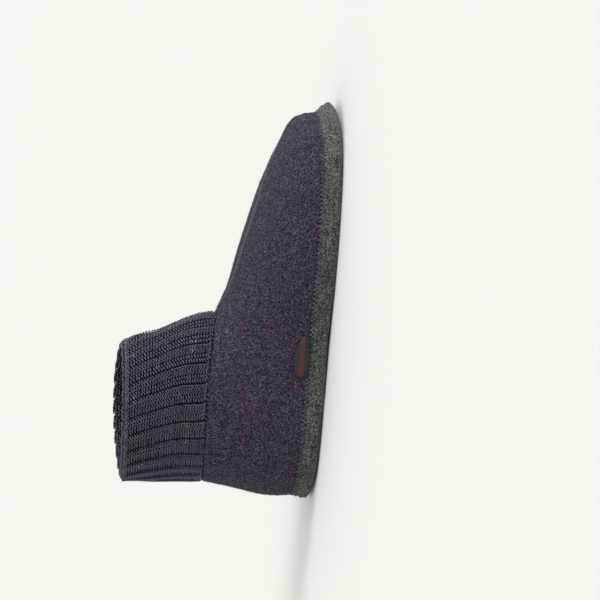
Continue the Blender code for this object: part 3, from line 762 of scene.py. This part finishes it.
def makeStitches(name, first, last, shape):
    rib = np.arange(knit["ribs"])[:, None]
    course = (np.arange(first, last)[None, :] + 0.5) / knit["courses"]
    plain, purl = knit["knitStitch"], knit["purlStitch"]
    legs = [(plain, wale + hand * plain["apart"], hand) for wale in plain["wales"] for hand in (-1, 1)]
    legs += [(purl, wale, 1) for wale in purl["wales"]]       # two slanting legs, or one loop across
    origin, along, up, size, tone = [], [], [], [], []
    yarnRun = dice.uniform(0, 1, knit["courses"])             # each course's own tone, from the dyeing of the yarn
    aroundOff, alongOff, slantOff, sizeOff = knit["uneven"]
    for stitch, wale, hand in legs:
        turn = (rib + wale) / knit["ribs"]
        turn = turn + swayAt(turn, course)
        way = np.broadcast_to(course, turn.shape)
        slant = hand * stitch["slant"]
        turn = (turn + dice.normal(0, aroundOff, turn.shape)).ravel()
        way = (way + dice.normal(0, alongOff, way.shape)).ravel()
        place, out = onCuff(ribFace, turn, way), unit(onCuff(ribOut, turn, way))
        rise = unit(onCuff(ribFace, turn, way + 0.015) - onCuff(ribFace, turn, way - 0.015))
        sideways = unit(np.cross(rise, out))
        lean = np.radians(slant + dice.normal(0, slantOff, len(turn)))[:, None]
        girth = np.linalg.norm(onCuff(meanFace, turn + 0.005, way) - onCuff(meanFace, turn - 0.005, way), axis=1)
        girth /= 0.01                       # from a hundredth of the way around
        across = abs(math.sin(math.radians(slant)))           # a stitch that lies across grows with the tube
        longer = (girth / (knit["sizedAt"] * mm))[:, None] ** across
        origin.append(place + out * stitch["proud"] * mm)
        along.append(rise * np.cos(lean) + sideways * np.sin(lean))
        up.append(out)
        same = np.ones_like(longer)
        uneven = 1 + dice.normal(0, sizeOff, (len(turn), 1))
        size.append(np.array(stitch["size"]) * mm * uneven * np.hstack([same, longer, same]))
        band = yarnRun[np.clip((way * knit["courses"]).astype(int), 0, knit["courses"] - 1)]
        tone.append(np.clip(0.4 * band + 0.6 * dice.uniform(0, 1, len(turn)), 0, 1))
    piece = sew(name, shape, *(np.concatenate(k) for k in (origin, along, up, size, tone)), yarnLook)


# The bound-off edge: a chain of loops laid along the rim. Its place and half its width are shares of the
# way from the seam over the rim and down inside; the rest is in mm.
rim = {"linksPerRib": 5, "way": 0.474, "half": 0.0035, "splay": 0.35, "size": (0.8, 2.9, 0.9), "proud": 0.7}


def makeRimChain():
    links = np.arange(knit["ribs"] * rim["linksPerRib"])
    turn = np.repeat((links + 0.5) / len(links), 2)
    hand = np.tile([-1, 1], len(links))
    way = rim["way"] + hand * rim["half"]
    place, out = onCuff(ribFace, turn, way), unit(onCuff(ribOut, turn, way))
    ahead = unit(onCuff(ribFace, turn + 0.003, way) - onCuff(ribFace, turn - 0.003, way))
    rise = unit(np.cross(out, ahead))
    along = ahead + rise * (hand * rim["splay"])[:, None]
    size = np.tile(np.array(rim["size"]) * mm, (len(turn), 1))
    piece = sew("rimChain", stitchShape(5, 2, 0.35, 0.2), place + out * rim["proud"] * mm, along, out, size,
                dice.uniform(0.1, 1, len(turn)), yarnLook)


yarnLook = plyYarn("worsted wool yarn, knitted", yarn["tones"])
makeKnitWall()
makeStitches("knitOutside", 0, knit["courses"] // 2, stitchShape(5, 2, 0.3, 0.2))
makeStitches("knitInside", knit["courses"] // 2, knit["courses"], stitchShape(4, 1, 0.3, 0.2))
makeRimChain()
print("cuff made")

# Grosgrain ribbon: woven with thick cross threads, which give it fine ribs and a dull gleam. Dark green
# with one plain red stripe along its middle. In mm: "middle" is the stripe's height, "stripe" half its width.
ribbon = {"green": [(0.3, "#0b0f0c"), (0.7, "#1d2f23")], "red": [(0.3, "#3c1a18"), (0.7, "#64221f")],
          "thread": 0.55, "fray": 1.111, "middle": 19.2, "stripe": 1.6, "bump": 0.2}


def wovenRibbon():
    material, tree, shader = newMaterial("grosgrain ribbon, woven")
    coords = addNode(tree, "TexCoord").outputs["Object"]
    place = addNode(tree, "SeparateXYZ", {"Vector": coords})
    threads = addNode(tree, "Math", {0: place.outputs["Y"], 1: 2 * math.pi / (ribbon["thread"] * mm)},
                      operation="MULTIPLY")
    rows = addNode(tree, "Math", {0: threads.outputs[0]}, operation="SINE")
    off = addNode(tree, "Math", {0: place.outputs["Z"], 1: ribbon["middle"] * mm}, operation="SUBTRACT")
    away = addNode(tree, "Math", {0: off.outputs[0]}, operation="ABSOLUTE")
    inside = addNode(tree, "Math", {0: away.outputs[0], 1: ribbon["stripe"] * mm}, operation="LESS_THAN")
    fray = addNode(tree, "TexNoise", {"Vector": coords, "Scale": every(ribbon["fray"]), "Detail": 2.0})
    green = addNode(tree, "ValToRGB", {"Fac": fray.outputs["Fac"]}, stops=ribbon["green"])
    red = addNode(tree, "ValToRGB", {"Fac": fray.outputs["Fac"]}, stops=ribbon["red"])
    colour = addNode(tree, "Mix", {0: inside.outputs[0], 6: green.outputs["Color"], 7: red.outputs["Color"]},
                     data_type="RGBA")
    bump = addNode(tree, "Bump", {"Strength": 0.6, "Distance": ribbon["bump"] * mm, "Height": rows.outputs[0]})
    setShader(tree, shader, {"Roughness": 0.7}, colour.outputs[2], bump)
    return material


def makeTab():
    piece = newPiece("sideRibbon", weldedCopy("side_tab"), wovenRibbon())
    smoothed(piece)
    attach(piece, "root")
    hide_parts("side_tab")


makeTab()
print("tab made")

# The thread that sews the upper into the sole: a zigzag over the joint, pale lavender, in mm. The joint is
# found by looking in from all around, between the two heights of "search".
seamThread = {"pitch": 3.2, "above": 1.5, "below": 1.3, "thick": 0.62, "proud": 0.12, "overlap": 1.12,
              "looks": 2400, "search": (9.0, 24.0), "from": 300,
              "tones": [(0.0, "#4d4a58"), (0.5, "#6d6a7a"), (1.0, "#8d8a98")]}


def makeSeamStitches():
    cup, shell = rayTree("sole"), rayTree("upper")
    far = seamThread["from"] * mm
    spots = []
    for k in range(seamThread["looks"]):
        angle = 2 * math.pi * k / seamThread["looks"]
        way = Vector((math.sin(angle), -math.cos(angle), 0))
        low, high = seamThread["search"]
        for halving in range(12):           # closes in on the height where the sole ends and the upper starts
            z = (low + high) / 2
            start = way * far + Vector((0, 0, z * mm))
            a, b = cup.ray_cast(start, -way, far)[3], shell.ray_cast(start, -way, far)[3]
            if b is None or (a is not None and a < b):
                low = z
            else:
                high = z
        a = cup.ray_cast(way * far + Vector((0, 0, (low - seamThread["below"]) * mm)), -way, far)
        b = shell.ray_cast(way * far + Vector((0, 0, (high + seamThread["above"]) * mm)), -way, far)
        if a[0] and b[0]:
            spots.append((*a[0], *b[0], *way))
    spots = np.array(spots + spots[:1])
    run = np.concatenate([[0], np.cumsum(np.linalg.norm(np.diff(spots[:, :2], axis=0), axis=1))])
    count = int(run[-1] / (seamThread["pitch"] * mm)) * 2
    at = np.arange(count) * run[-1] / count
    here, there = (np.column_stack([np.interp(np.mod(s, run[-1]), run, spots[:, j]) for j in range(9)])
                   for s in (at, at + run[-1] / count))
    even = (np.arange(count) % 2 == 0)[:, None]
    first, last = np.where(even, here[:, :3], here[:, 3:6]), np.where(even, there[:, 3:6], there[:, :3])
    out = unit(here[:, 6:])
    thick = np.full(count, seamThread["thick"] * mm)
    size = np.column_stack([thick, np.linalg.norm(last - first, axis=1) * seamThread["overlap"], thick])
    middle = (first + last) / 2 + out * seamThread["proud"] * mm
    piece = sew("soleSeamThread", stitchShape(5, 2, 0.3, 0.35), middle, last - first, out, size,
                dice.uniform(0, 1, count), plyYarn("waxed sewing thread", seamThread["tones"]))


makeSeamStitches()
print("seams sewn")
